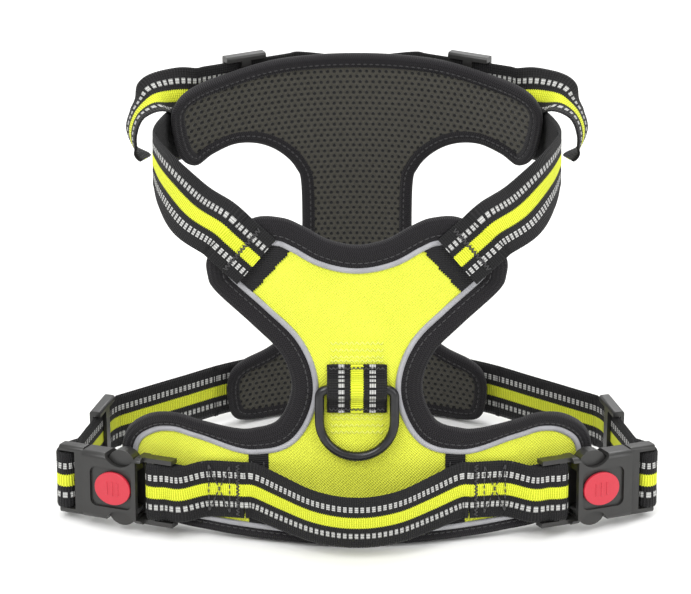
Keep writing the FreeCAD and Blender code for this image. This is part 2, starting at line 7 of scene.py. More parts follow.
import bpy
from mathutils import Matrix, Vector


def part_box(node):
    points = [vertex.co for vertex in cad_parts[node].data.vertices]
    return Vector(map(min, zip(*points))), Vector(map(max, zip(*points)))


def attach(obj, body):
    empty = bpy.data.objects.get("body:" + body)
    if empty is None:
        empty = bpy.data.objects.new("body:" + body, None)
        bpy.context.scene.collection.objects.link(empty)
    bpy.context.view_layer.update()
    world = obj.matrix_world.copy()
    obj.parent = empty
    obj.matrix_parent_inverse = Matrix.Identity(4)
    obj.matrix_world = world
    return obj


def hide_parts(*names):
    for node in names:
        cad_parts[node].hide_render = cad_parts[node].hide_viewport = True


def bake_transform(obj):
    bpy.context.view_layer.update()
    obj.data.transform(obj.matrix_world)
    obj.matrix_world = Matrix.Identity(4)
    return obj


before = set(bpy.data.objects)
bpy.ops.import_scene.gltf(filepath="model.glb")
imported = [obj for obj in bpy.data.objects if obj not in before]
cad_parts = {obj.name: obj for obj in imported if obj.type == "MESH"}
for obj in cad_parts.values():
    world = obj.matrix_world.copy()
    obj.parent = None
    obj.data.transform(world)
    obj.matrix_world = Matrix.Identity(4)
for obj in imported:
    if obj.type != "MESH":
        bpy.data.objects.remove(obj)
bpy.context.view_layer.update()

import math

import bmesh
import bpy
import numpy as np
from mathutils import Vector, noise

# ---------------------------------------------------------------- sizes shared with the CAD
MM = 0.001                   # metres
WEB_THICK = 1.4
PANEL_DEEP = 5.0             # fabric and foam
BINDING = 9.0
WING_BINDING = 4.8
CHEST_BINDING = 5.4
PIPING_IN = 1.1              # middle of the back's piping, in from the inner edge of its binding
TAPE = 8.5
EDGE_STEP = 0.85             # between the sections of a binding or piping
BACK_CHORD = 5               # steps each way over which the outline's direction is taken
CHEST_CHORD = 4
BINDING_RIPPLE = 0.03
BACK_SEAM_IN = 6.9           # groove of the binding's sewing, in from the outline at full width
CHEST_SEAM_IN = 3.8
SEAM_PROUD = 0.72
FULL_WIDTH_Z = 63.0          # above this the back's binding has its full width
SLIM_FROM = 34.0             # distance from the middle where it begins to slim, and over which
SLIM_OVER = 34.0
LOW_SLIM_Z = 27.0            # height below which it slims along the lower edge, and over which
LOW_SLIM_OVER = 12.0
STRIPE_HALF = 2.65           # webbing's pattern, from its middle
DASH_ROW = 6.55
DASH_ROW_HALF = 1.3
DASH_PITCH = 2.4
DASH_SHARE = 0.62
RIB_PITCH = 0.96
SEAM_X = 42.0
ARMHOLE_Z = 49.0
BACK_RADIUS = 212.0
LEAN = math.radians(7.0)
CHEST_RADIUS = 100.0
CHEST_Y = 36.0
STRAP_OUT = 2.1              # back fabric to the middle of the webbing
HANDLE_X = 48.0
HANDLE_Z = 23.5
HANDLE_DROP = 7.0
HANDLE_BULGE = 17.5
RING_OFFSET = 2.65
RING_TUNNEL = 2.3
RING_Z = 70.0
FRONT_RING_Y = 142.4
FRONT_RING_Z = 118.0
BUCKLE_X = 77.6
BUCKLE_Z = 20.8
BUCKLE_TURN = math.radians(180.0 - 24.5)
BAR_X = 10.0
MALE_BAR_X = 52.4
BELLY_Z = 16.0
LOOP_Z = 160.0

BACK_OUTLINE = [
    (0, 131), (12, 133.3), (22, 138.6), (31, 142), (43, 141.4), (55, 132), (62.2, 123.6), (62.5, 116),
    (59.3, 109.6), (43.8, 96), (31.8, 83.8), (27.4, 69), (33, 54.4), (43.6, 49.7), (52, 49), (67, 51.2),
    (78, 53.2), (89, 51), (98.4, 43.4), (101, 31.2), (95, 16.2), (81, 5.6), (62, 3.0), (46, 1.6), (33, 0.8),
    (20, 0.2), (0, 0),
]
CHEST_OUTLINE = [
    (0, 173.5), (20, 173.3), (38, 172.5), (56, 169.9), (72, 167.1), (79, 162.5), (80.7, 154.5),
    (77.5, 138.5), (71, 131.9), (63.7, 134.9), (53.7, 137.1), (43, 134.9), (34, 129.3), (27.6, 121.5),
    (25, 111.5), (25, 75), (26.2, 55), (31, 41.5), (41, 34), (52.6, 30), (58.1, 25.5), (59.6, 17),
    (57.6, 5.5), (50.6, 0.8), (34, 0), (0, 0),
]

# sections of the bindings, round from the face to the lining: (in from the outline, proud of the face)
BACK_SECTION = [
    (9.3, -0.1), (9.0, 0.55), (7.6, 0.72), (6.9, 0.62), (6.2, 0.80), (4.2, 0.95), (2.2, 0.80), (0.9, 0.30),
    (0.1, -0.7), (-0.15, -2.5), (0.1, -4.3), (0.9, -5.3), (2.2, -5.8), (4.2, -5.95), (6.4, -5.80),
    (8.4, -5.7), (9.3, -4.9),
]
CHEST_SECTION = [
    (5.7, -0.2), (5.4, 0.5), (4.4, 0.72), (3.8, 0.62), (3.2, 0.78), (1.8, 0.80), (0.7, 0.3), (0.1, -0.7),
    (-0.15, -2.5), (0.1, -4.3), (0.7, -5.3), (1.8, -5.75), (3.6, -5.8), (5.2, -5.6), (5.7, -4.8),
]

shift_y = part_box("chest_fabric")[1][1] - 0.141
shift_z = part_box("left_belly_strap")[0][2] - 0.0035


# ---------------------------------------------------------------- places
def place(point):
    return Vector((point[0] * MM, point[1] * MM + shift_y, point[2] * MM + shift_z))


def lean(point):
    c, s = math.cos(LEAN), math.sin(LEAN)
    return Vector((point[0], point[1] * c + point[2] * s, -point[1] * s + point[2] * c))


def back_y(x, proud=0.0):
    reach = BACK_RADIUS + proud
    return BACK_RADIUS - math.sqrt(reach * reach - x * x)


def on_back(x, z, proud):
    """Point on the back panel, standing proud of its fabric."""
    return lean((x, back_y(x, proud), z))


def on_chest(x, z, out):
    """Point on the chest panel, out from its inner face."""
    reach = CHEST_RADIUS + out
    return Vector((x, CHEST_Y + math.sqrt(max(reach * reach - x * x, 0.0)), z))


def chest_at(degrees, out, z):
    angle = math.radians(degrees)
    reach = CHEST_RADIUS + out
    return Vector((-reach * math.sin(angle), CHEST_Y + reach * math.cos(angle), z))


def buckle_local(x, y, z):
    """Point of the left buckle: x out along it, y to its face, z up; in the leaned frame."""
    c, s = math.cos(BUCKLE_TURN), math.sin(BUCKLE_TURN)
    base_y = back_y(BUCKLE_X, 7.0) - 0.4
    return lean((-BUCKLE_X + x * c - y * s, base_y + x * s + y * c, BUCKLE_Z + z))


def mirrored(points):
    return [Vector((-p[0], p[1], p[2])) for p in points]


# ---------------------------------------------------------------- curves
def catmull(p0, p1, p2, p3, t):
    return (p1 * 2 + (p2 - p0) * t + (p0 * 2 - p1 * 5 + p2 * 4 - p3) * t ** 2
            + (p1 * 3 - p0 - p2 * 3 + p3) * t ** 3) * 0.5


def resample(points, step, closed=False):
    """Points at an even distance along a polyline, as an array."""
    line = np.array([tuple(p) for p in points], dtype=float)
    if closed:
        line = np.vstack([line, line[:1]])
    far = np.concatenate([[0.0], np.cumsum(np.linalg.norm(np.diff(line, axis=0), axis=1))])
    count = max(int(round(far[-1] / step)), 2)
    at = np.linspace(0.0, far[-1], count + 1)
    if closed:
        at = at[:-1]
    return np.stack([np.interp(at, far, line[:, k]) for k in range(line.shape[1])], axis=1)


def smooth_loop(half, step):
    """Closed outline through the left half's points and their mirror image, evenly spaced."""
    ring = [Vector((-x, z)) for x, z in half] + [Vector((x, z)) for x, z in reversed(half) if x > 0]
    count = len(ring)
    dense = []
    for i in range(count):
        quad = [ring[(i + k) % count] for k in (-1, 0, 1, 2)]
        dense += [catmull(*quad, k / 12) for k in range(12)]
    even = resample(dense, step, closed=True)
    return np.roll(even, len(even) // 2, axis=0)


def loop_normals(loop, reach):
    """Outward direction at each point of a closed outline, from a chord of `reach` points each way."""
    along = np.roll(loop, -reach, axis=0) - np.roll(loop, reach, axis=0)
    along /= np.linalg.norm(along, axis=1)[:, None]
    return np.stack([along[:, 1], -along[:, 0]], axis=1)


def inside(points, polygon):
    """Which points lie inside a closed polygon."""
    x, z = points[:, 0], points[:, 1]
    result = np.zeros(len(points), dtype=bool)
    previous = polygon[-1]
    for corner in polygon:
        crosses = (corner[1] > z) != (previous[1] > z)
        with np.errstate(divide="ignore", invalid="ignore"):
            at = (previous[0] - corner[0]) * (z - corner[1]) / (previous[1] - corner[1]) + corner[0]
        result ^= crosses & (x < at)
        previous = corner
    return result


# ---------------------------------------------------------------- materials
class Shade:
    """One material, with short calls for its nodes."""

    def __init__(self, name, color, roughness, **sockets):
        self.material = bpy.data.materials.new(name)
        self.material.use_nodes = True
        self.tree = self.material.node_tree
        self.shader = self.tree.nodes["Principled BSDF"]
        self.shader.inputs["Base Color"].default_value = (*color, 1)
        self.shader.inputs["Roughness"].default_value = roughness
        self.material.diffuse_color = (*color, 1)
        for socket, value in sockets.items():
            self.shader.inputs[socket.replace("_", " ").title().replace("Ior", "IOR")].default_value = value

    def node(self, kind, **settings):
        made = self.tree.nodes.new("ShaderNode" + kind)
        for key, value in settings.items():
            setattr(made, key, value)
        return made

    def feed(self, socket, value):
        if isinstance(value, bpy.types.NodeSocket):
            self.tree.links.new(value, socket)
        else:
            socket.default_value = value

    def math(self, operation, *values):
        made = self.node("Math", operation=operation)
        for socket, value in zip(made.inputs, values):
            self.feed(socket, value)
        return made.outputs[0]

    def axes(self, attribute):
        source = self.node("Attribute", attribute_name=attribute)
        split = self.node("SeparateXYZ")
        self.feed(split.inputs[0], source.outputs["Vector"])
        return split.outputs[0], split.outputs[1], split.outputs[2]

    def wave(self, value, pitch, phase=0.0):
        turned = self.math("MULTIPLY_ADD", value, 2 * math.pi / pitch, phase)
        return self.math("SINE", turned)

    def noise(self, scale, detail=3.0, roughness=0.5):
        place_node = self.node("TexCoord")
        made = self.node("TexNoise")
        self.feed(made.inputs["Vector"], place_node.outputs["Object"])
        made.inputs["Scale"].default_value = scale
        made.inputs["Detail"].default_value = detail
        made.inputs["Roughness"].default_value = roughness
        return made.outputs["Fac"]

    def mix(self, share, a, b):
        made = self.node("Mix", data_type="RGBA")
        self.feed(made.inputs[0], share)
        for socket, value in ((made.inputs[6], a), (made.inputs[7], b)):
            self.feed(socket, (*value, 1) if isinstance(value, tuple) else value)
        return made.outputs[2]

    def color(self, value):
        self.feed(self.shader.inputs["Base Color"], value)

    def rough(self, value):
        self.feed(self.shader.inputs["Roughness"], value)

    def bump(self, height, distance, strength=1.0):
        made = self.node("Bump")
        made.inputs["Strength"].default_value = strength
        made.inputs["Distance"].default_value = distance
        self.feed(made.inputs["Height"], height)
        self.feed(self.shader.inputs["Normal"], made.outputs[0])

    def spread(self, value, low, high):
        made = self.node("MapRange")
        self.feed(made.inputs["Value"], value)
        made.inputs["To Min"].default_value = low
        made.inputs["To Max"].default_value = high
        return made.outputs[0]


YELLOW = (0.78, 0.83, 0.050)
DEEP_YELLOW = (0.58, 0.63, 0.02)
BLACK = (0.013, 0.0125, 0.0135)


def make_yellow_fabric():
    m = Shade("yellow_fabric", YELLOW, 0.82, sheen_weight=0.25, sheen_roughness=0.5)
    x, z, _ = m.axes("cloth")
    warp = m.wave(m.math("ADD", x, z), 1.15)
    weft = m.wave(m.math("SUBTRACT", x, z), 1.6)
    weave = m.math("ADD", warp, m.math("MULTIPLY", weft, 0.6))
    cloud = m.noise(55.0, 4.0)
    shade = m.math("ADD", m.math("MULTIPLY", weave, 0.16), m.spread(cloud, -0.15, 0.75))
    shade = m.math("MINIMUM", m.math("MAXIMUM", shade, 0.0), 1.0)
    m.color(m.mix(shade, YELLOW, DEEP_YELLOW))
    m.bump(m.math("ADD", weave, m.math("MULTIPLY", m.noise(1400.0), 0.8)), 0.00012)
    return m.material


def make_webbing():
    m = Shade("patterned_webbing", BLACK, 0.72, sheen_weight=0.05, sheen_roughness=0.4,
              specular_ior_level=0.25)
    u, v, side = m.axes("strap")
    off = m.math("ABSOLUTE", u)
    rib = m.wave(v, RIB_PITCH)
    edge = m.math("MULTIPLY_ADD", rib, 0.22, off)
    face = m.math("GREATER_THAN", side, 0.5)
    stripe = m.math("MULTIPLY", m.math("LESS_THAN", edge, STRIPE_HALF), face)
    near = m.math("LESS_THAN", m.math("ABSOLUTE", m.math("SUBTRACT", off, DASH_ROW)), DASH_ROW_HALF)
    dash = m.math("LESS_THAN", m.math("FRACT", m.math("DIVIDE", v, DASH_PITCH)), DASH_SHARE)
    mark = m.math("MULTIPLY", m.math("MULTIPLY", near, dash), face)
    cords = m.wave(u, 1.05)
    # painted shade: the black is darker in the grooves between ribs and cords, lighter on their tops
    rib_shade = m.math("MULTIPLY_ADD", cords, 0.12, m.spread(rib, 0.0, 0.5))
    base = m.mix(m.math("MAXIMUM", rib_shade, 0.0), (0.006, 0.006, 0.0065), (0.024, 0.023, 0.024))
    # painted highlight: the yellow stripe is lighter on the rib tops, darker in the grooves
    bright = m.mix(m.spread(rib, 0.0, 1.0), (0.55, 0.60, 0.02), (0.86, 0.92, 0.06))
    plain = m.mix(stripe, base, bright)
    # painted highlight: the grey dashes are lighter on the tops of the cords
    m.color(m.mix(mark, plain, m.mix(m.spread(cords, 0.0, 1.0), (0.33, 0.33, 0.32), (0.66, 0.66, 0.64))))
    height = m.math("MULTIPLY_ADD", cords, 0.35, rib)
    height = m.math("MULTIPLY_ADD", mark, 0.8, height)
    m.bump(m.math("MULTIPLY_ADD", m.noise(1800.0), 0.7, height), 0.00014)
    return m.material


def make_binding():
    m = Shade("edge_binding", BLACK, 0.8, sheen_weight=0.08, sheen_roughness=0.4, specular_ior_level=0.2)
    u, v, _ = m.axes("strap")
    chevron = m.wave(m.math("MULTIPLY_ADD", m.math("PINGPONG", u, 0.9), 0.7, v), 0.85)
    grooves = m.wave(u, 1.8)
    height = m.math("MULTIPLY_ADD", grooves, 0.6, chevron)
    # painted shade: the black is darker in the chevrons' grooves, lighter on their ridges
    m.color(m.mix(m.spread(chevron, 0.0, 1.0), (0.008, 0.0075, 0.0085), (0.024, 0.022, 0.025)))
    m.bump(m.math("MULTIPLY_ADD", m.noise(1500.0), 0.6, height), 0.00013)
    return m.material


def make_tape():
    m = Shade("black_tape", BLACK, 0.75, sheen_weight=0.05, sheen_roughness=0.4, specular_ior_level=0.25)
    x, z, _ = m.axes("cloth")
    ribs = m.wave(z, 0.9)
    # painted shade: the black is darker in the grooves between ribs, lighter on their tops
    m.color(m.mix(m.spread(ribs, 0.0, 1.0), (0.006, 0.006, 0.0065), (0.020, 0.019, 0.021)))
    m.bump(m.math("MULTIPLY_ADD", m.wave(x, 1.2), 0.5, ribs), 0.00012)
    return m.material


def make_piping():
    m = Shade("reflective_piping", (0.33, 0.33, 0.35), 0.42, sheen_weight=0.1, metallic=0.25)
    u, v, _ = m.axes("strap")
    twill = m.wave(m.math("ADD", u, v), 0.7)
    m.color(m.mix(m.spread(m.noise(130.0), 0.0, 1.0), (0.24, 0.24, 0.26), (0.44, 0.44, 0.46)))
    m.bump(twill, 0.00006)
    return m.material


MESH_X, MESH_Z, MESH_HOLE = 2.9, 2.5, 0.86     # pitch across and up, and radius, of the mesh's holes


def make_spacer_mesh():
    m = Shade("spacer_mesh", (0.04, 0.037, 0.029), 0.8, sheen_weight=0.12, sheen_roughness=0.35)
    x, z, _ = m.axes("cloth")
    row = m.math("DIVIDE", z, MESH_Z)
    odd = m.math("MULTIPLY", m.math("FLOORED_MODULO", m.math("FLOOR", row), 2.0), 0.5)
    across = m.math("FRACT", m.math("ADD", m.math("DIVIDE", x, MESH_X), odd))
    dx = m.math("MULTIPLY", m.math("SUBTRACT", across, 0.5), MESH_X)
    dz = m.math("MULTIPLY", m.math("SUBTRACT", m.math("FRACT", row), 0.5), MESH_Z)
    far = m.math("SQRT", m.math("ADD", m.math("MULTIPLY", dx, dx), m.math("MULTIPLY", dz, dz)))
    solid = m.node("MapRange", interpolation_type="SMOOTHSTEP")
    m.feed(solid.inputs["Value"], far)
    solid.inputs["From Min"].default_value = MESH_HOLE * 0.72
    solid.inputs["From Max"].default_value = MESH_HOLE * 1.15
    yarn = m.spread(m.wave(m.math("ADD", x, z), 0.55), 0.0, 1.0)
    # painted highlight: the threads are lighter on the yarn's ridges
    thread = m.mix(yarn, (0.034, 0.032, 0.024), (0.078, 0.072, 0.055))
    # painted shade: the holes are near black, darker than the threads round them
    m.color(m.mix(solid.outputs[0], (0.006, 0.006, 0.006), thread))
    m.bump(m.math("MULTIPLY_ADD", yarn, 0.3, solid.outputs[0]), 0.00035)
    return m.material


def make_plastic(name, dark, light, roughness, grain):
    m = Shade(name, dark, roughness, coat_weight=0.12, coat_roughness=0.35)
    m.color(m.mix(m.spread(m.noise(320.0, 4.0), 0.0, 0.6), dark, light))
    m.rough(m.spread(m.noise(900.0), roughness - 0.06, roughness + 0.1))
    m.bump(m.noise(2600.0, 2.0), grain)
    return m.material


def make_metal():
    m = Shade("dark_metal", (0.02, 0.02, 0.022), 0.34, metallic=0.75, coat_weight=0.3)
    m.color(m.mix(m.spread(m.noise(260.0), 0.0, 1.0), (0.012, 0.012, 0.013), (0.036, 0.036, 0.038)))
    m.rough(m.spread(m.noise(700.0), 0.26, 0.44))
    m.bump(m.noise(1800.0), 0.00003)
    return m.material


def make_thread(name, dark, light):
    m = Shade(name, dark, 0.6, sheen_weight=0.2)
    m.color(m.mix(m.spread(m.noise(2500.0), 0.0, 1.0), dark, light))
    m.bump(m.noise(4000.0), 0.00005)
    return m.material


MATERIAL = {
    "yellow": make_yellow_fabric(),
    "webbing": make_webbing(),
    "binding": make_binding(),
    "tape": make_tape(),
    "piping": make_piping(),
    "mesh": make_spacer_mesh(),
    "plastic": make_plastic("black_plastic", (0.013, 0.0127, 0.0120), (0.026, 0.0255, 0.024), 0.36, 0.00003),
    "red": make_plastic("red_plastic", (0.50, 0.016, 0.034), (0.60, 0.030, 0.055), 0.38, 0.00002),
    "metal": make_metal(),
    "black_thread": make_thread("black_thread", (0.010, 0.010, 0.011), (0.034, 0.032, 0.035)),
    "yellow_thread": make_thread("yellow_thread", (0.62, 0.66, 0.06), (0.88, 0.90, 0.22)),
}


# ---------------------------------------------------------------- mesh making
def new_piece(name, points, faces, material, attribute=None, values=None, smooth=True):
    mesh = bpy.data.meshes.new(name)
    mesh.from_pydata([tuple(place(p)) for p in points], [], faces)
    mesh.update()
    if attribute:
        store = mesh.attributes.new(attribute, "FLOAT_VECTOR", "POINT")
        store.data.foreach_set("vector", np.array(values, dtype=np.float32).ravel())
    mesh.polygons.foreach_set("use_smooth", [smooth] * len(mesh.polygons))
    piece = bpy.data.objects.new(name, mesh)
    bpy.context.scene.collection.objects.link(piece)
    mesh.materials.append(MATERIAL[material])
    return piece


def tube_faces(rows, ring, closed=False):
    """Quads round a tube of `rows` rings with `ring` points each, capped unless closed on itself."""
    faces = []
    last = rows if closed else rows - 1
    for i in range(last):
        a, b = i * ring, ((i + 1) % rows) * ring
        for k in range(ring):
            n = (k + 1) % ring
            faces.append((a + k, a + n, b + n, b + k))
    if not closed:
        faces.append(tuple(range(ring - 1, -1, -1)))
        faces.append(tuple(range((rows - 1) * ring, rows * ring)))
    return faces


def strip_path(stations, step=RIB_PITCH / 2):
    """Even points along webbing and the direction across it at each, from (middle, across) stations."""
    count = len(stations)
    middles = [Vector(s[0]) for s in stations]
    across = [Vector(s[1]).normalized() for s in stations]
    dense = []
    for i in range(count - 1):
        quad = [max(i - 1, 0), i, i + 1, min(i + 2, count - 1)]
        for k in range(10):
            point = catmull(*[middles[q] for q in quad], k / 10)
            width = catmull(*[across[q] for q in quad], k / 10)
            dense.append((*point, *width))
    dense.append((*middles[-1], *across[-1]))
    line = np.array(dense)
    far = np.concatenate([[0.0], np.cumsum(np.linalg.norm(np.diff(line[:, :3], axis=0), axis=1))])
    total = max(int(round(far[-1] / step)), 2)
    at = np.linspace(0.0, far[-1], total + 1)
    even = np.stack([np.interp(at, far, line[:, k]) for k in range(6)], axis=1)
    return [Vector(e[:3]) for e in even], [Vector(e[3:]) for e in even], at


STRAP_COLUMNS = (-12.5, -11.6, -10.2, -8.0, -7.8, -5.3, -5.1, -2.8, -2.6, 0.0, 2.6, 2.8, 5.1, 5.3, 7.8, 8.0,
                 10.2, 11.6, 12.5)
UNDER_COLUMNS = (10.5, 5.0, 0.0, -5.0, -10.5)


def webbing(name, stations, face=1, start=0.0, step=RIB_PITCH / 2, doubled=0.0):
    """Ribbed webbing; face says which side carries the pattern. Up to `doubled` along it the strap has
    come back through its slider, so both sides show the pattern."""
    middles, across, at = strip_path(stations, step)
    points, values = [], []
    for i, point in enumerate(middles):
        ahead = (middles[min(i + 1, len(middles) - 1)] - middles[max(i - 1, 0)]).normalized()
        side = (across[i] - ahead * across[i].dot(ahead)).normalized()
        out = ahead.cross(side).normalized() * face
        rib = 0.045 if i % 2 else -0.045
        soft = 0.10 * noise.noise((at[i] * 0.05, start * 0.37, len(stations)))
        for u in STRAP_COLUMNS:
            raised = 0.07 if abs(u) < 2.7 or 5.2 < abs(u) < 7.9 else 0.0
            round_off = 0.42 * max(0.0, (abs(u) - 11.4) / 1.1) ** 2
            edge = 0.09 * (1 if i % 2 else -1) if abs(u) > 12 else 0.0
            reach = u + math.copysign(edge, u) + soft
            points.append(point + side * reach + out * (WEB_THICK / 2 + rib + raised - round_off))
            values.append((u, at[i] + start, 1.0))
        for u in UNDER_COLUMNS:
            points.append(point + side * (u + soft) - out * (WEB_THICK / 2 + rib))
            values.append((u, at[i] + start, 1.0 if at[i] < doubled else 0.0))
    ring = len(STRAP_COLUMNS) + len(UNDER_COLUMNS)
    faces = tube_faces(len(middles), ring)
    if face < 0:
        faces = [tuple(reversed(f)) for f in faces]
    piece = new_piece(name, points, faces, "webbing", "strap", values)
    return piece


def swept_edge(name, loop, reach, section, surface, material, ripple=0.0, scales=1.0, shifts=0.0):
    """Closed edge trim: section points are (distance in from the outline, proud of the face). At each
    point of the outline the distances are multiplied by its scale and moved in by its shift."""
    normals = loop_normals(loop, reach)
    scales = np.broadcast_to(scales, len(loop))
    shifts = np.broadcast_to(shifts, len(loop))
    ring = len(section)
    points, values = [], []
    for i, (x, z) in enumerate(loop):
        wave = ripple * (1 if i % 2 else -1)
        for k, (across, proud) in enumerate(section):
            inward = across * scales[i] + shifts[i]
            swell = wave if 0 < k < ring - 1 else 0.0
            outward = proud + swell if proud > -PANEL_DEEP / 2 else proud - swell
            points.append(surface(x - normals[i][0] * inward, z - normals[i][1] * inward, outward))
            values.append((float(inward), i * 1.0, proud))
    spacing = np.linalg.norm(loop[1] - loop[0])
    values = [(u, v * spacing, w) for u, v, w in values]
    piece = new_piece(name, points, tube_faces(len(loop), ring, closed=True), material, "strap", values)
    return piece


def panel_sheet(name, polygon, surface, level, thick, material, step=1.5, keep=None, relief=None):
    """Sheet over the part of a panel inside a polygon: a fine grid, given its thickness."""
    low, high = polygon.min(axis=0), polygon.max(axis=0)
    xs = np.arange(math.floor(low[0] / step) - 1, math.ceil(high[0] / step) + 2) * step
    zs = np.arange(math.floor(low[1] / step) - 1, math.ceil(high[1] / step) + 2) * step
    centre = np.array([(x + step / 2, z + step / 2) for z in zs[:-1] for x in xs[:-1]])
    kept = inside(centre, polygon)
    if keep:
        kept &= np.array([keep(x, z) for x, z in centre])
    used, points, values, faces = {}, [], [], []
    wide = len(xs) - 1
    for cell in np.nonzero(kept)[0]:
        row, column = divmod(int(cell), wide)
        corners = []
        for r, c in ((row, column), (row, column + 1), (row + 1, column + 1), (row + 1, column)):
            if (r, c) not in used:
                x, z = float(xs[c]), float(zs[r])
                used[(r, c)] = len(points)
                points.append(surface(x, z, level + (relief(x, z) if relief else 0.0)))
                values.append((x, z, 0.0))
            corners.append(used[(r, c)])
        faces.append(tuple(corners))
    piece = new_piece(name, points, faces, material, "cloth", values)
    solid = piece.modifiers.new("thickness", "SOLIDIFY")
    solid.thickness = abs(thick) * MM
    solid.offset = -1.0 if thick > 0 else 1.0
    return piece


def stitches(name, pairs, material, radius=0.32, lift=0.25):
    """Sewn stitches: each is (from, to, outward direction), arched a little off the cloth."""
    points, faces = [], []
    rows, ring = 5, 6
    for start, end, out in pairs:
        along = (end - start).normalized()
        out = (out - along * out.dot(along)).normalized()
        side = along.cross(out)
        base = len(points)
        for i in range(rows):
            share = i / (rows - 1)
            rise = math.sin(math.pi * share)
            middle = start.lerp(end, share) + out * (lift * rise - 0.12)
            size = radius * (0.45 + 0.55 * rise)
            for k in range(ring):
                turn = 2 * math.pi * k / ring
                points.append(middle + side * (math.cos(turn) * size) + out * (math.sin(turn) * size * 0.8))
        faces += [tuple(base + k for k in f) for f in tube_faces(rows, ring)]
    piece = new_piece(name, points, faces, material)
    return piece


def row_of(points, outs, pitch, gap=0.6):
    """Stitch pairs along a line of points."""
    line = resample(points, pitch)
    pairs = []
    for a, b in zip(line[:-1], line[1:]):
        a, b = Vector(a), Vector(b)
        step = (b - a).normalized() * gap / 2
        pairs.append((a + step, b - step, outs))
    return pairs


def zigzag(start, end, side, out, width, pitch):
    """Bartack: tight zigzag from start to end."""
    length = (end - start).length
    count = max(int(length / pitch), 2)
    pairs = []
    for i in range(count):
        sign = 1 if i % 2 else -1
        a = start.lerp(end, i / count) - side * (sign * width / 2)
        b = start.lerp(end, (i + 1) / count) + side * (sign * width / 2)
        pairs.append((a, b, out))
    return pairs


# ---------------------------------------------------------------- back panel
back_loop = smooth_loop(BACK_OUTLINE, EDGE_STEP)
back_normals = loop_normals(back_loop, BACK_CHORD)


def inset_loop(loop, normals, distance):
    return loop - normals * distance


def binding_width(x, z):
    """Seen width of the back's binding: full round the neck and armholes, slimmer round the wings and
    along the lower edge."""
    if z > FULL_WIDTH_Z:
        return BINDING
    share = min(max((abs(x) - SLIM_FROM) / SLIM_OVER, 0.0), 1.0)
    slim = share * share * (3 - 2 * share)
    low = min(max((LOW_SLIM_Z - z) / LOW_SLIM_OVER, 0.0), 1.0)
    return BINDING - (BINDING - WING_BINDING) * max(slim, low)


back_widths = np.array([binding_width(x, z) for x, z in back_loop])


def back_relief(x, z):
    slow = noise.noise((x * 0.045, z * 0.045, 1.7)) * 0.35
    fine = noise.noise((x * 0.16, z * 0.12, 5.1)) * 0.12
    return slow + fine + 0.15


def back_panel():
    covered = inset_loop(back_loop, back_normals, (back_widths - 2.6)[:, None])
    pieces = {}

    def centre(x, z):
        return abs(x) < SEAM_X or z > ARMHOLE_Z + 4

    def wing(sign):
        return lambda x, z: x * sign > SEAM_X and z < ARMHOLE_Z + 6
    pieces["back_centre_cloth"] = panel_sheet("back_centre_cloth", covered, on_back, 0.0, 1.0, "yellow",
                                              1.4, centre, back_relief)
    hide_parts("back_fabric")
    for side, sign in (("left", -1), ("right", 1)):
        cloth = panel_sheet(side + "_wing_cloth", covered, on_back, 0.0, 1.0, "yellow",
                            1.4, wing(sign), back_relief)
        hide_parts(side + "_wing_fabric")
        pieces[side + "_wing_cloth"] = cloth
        near = panel_sheet(side + "_seam_band", covered, on_back, 0.62, 0.6, "tape", 0.85,
                           lambda x, z: abs(x * sign - SEAM_X) < TAPE / 2 and z < ARMHOLE_Z + 4,
                           lambda x, z: 0.06 * (1 if int(round(z / 0.85)) % 2 else -1))
        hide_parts(side + "_seam_tape")
        pieces[side + "_seam_band"] = near
        rows = []
        for offset in (-2.6, 2.6):
            x = sign * (SEAM_X + offset)
            rows += row_of([on_back(x, z, 0.95) for z in (13.5, 20, 28, 36.5)], Vector((0, -1, 0)), 3.0)
        pieces[side + "_seam_stitches"] = stitches(side + "_seam_stitches", rows, "black_thread")
        top = panel_sheet(side + "_shoulder_band", covered, on_back, 0.62, 0.6, "tape", 0.85,
                          lambda x, z: shoulder_share(-abs(x), z) and x * sign > 0)
        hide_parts(side + "_shoulder_tape")
        pieces[side + "_shoulder_band"] = top
    lining = panel_sheet("back_pad", covered, on_back, -PANEL_DEEP, -3.6, "mesh", 0.72,
                         None, mesh_relief)
    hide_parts("back_lining")
    pieces["back_pad"] = lining
    trim = swept_edge("back_edge_binding", back_loop, BACK_CHORD, BACK_SECTION, on_back, "binding",
                      BINDING_RIPPLE, scales=back_widths / BINDING)
    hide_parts("back_binding")
    pieces["back_edge_binding"] = trim
    cord = [(1.25 * math.cos(t), 0.35 + 0.95 * math.sin(t))
            for t in [2 * math.pi * k / 10 for k in range(10)]]
    line = swept_edge("back_edge_piping", back_loop, BACK_CHORD, cord[::-1], on_back, "piping",
                      shifts=back_widths + PIPING_IN)
    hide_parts("back_piping")
    pieces["back_edge_piping"] = line
    seam = inset_loop(back_loop, back_normals, (back_widths * BACK_SEAM_IN / BINDING)[:, None])
    ring = [on_back(x, z, SEAM_PROUD) for x, z in np.vstack([seam, seam[:1]])]
    pieces["back_edge_stitches"] = stitches("back_edge_stitches",
                                            row_of(ring, Vector((0, -1, 0)), 2.7), "black_thread", 0.28)
    for piece in pieces.values():
        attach(piece, "root")


SHOULDER_MIDDLE = Vector((-41.5, 124.3))
SHOULDER_ACROSS = Vector((-16.9, -19.8)).normalized()
SHOULDER_ALONG = Vector((SHOULDER_ACROSS.y, -SHOULDER_ACROSS.x))       # towards the corner


def shoulder_share(x, z):
    """Whether a point of the left shoulder is under the strip of tape beyond the strap's end."""
    reach = (Vector((x, z)) - SHOULDER_MIDDLE).dot(-SHOULDER_ALONG)
    return -4.0 < reach < 7.5


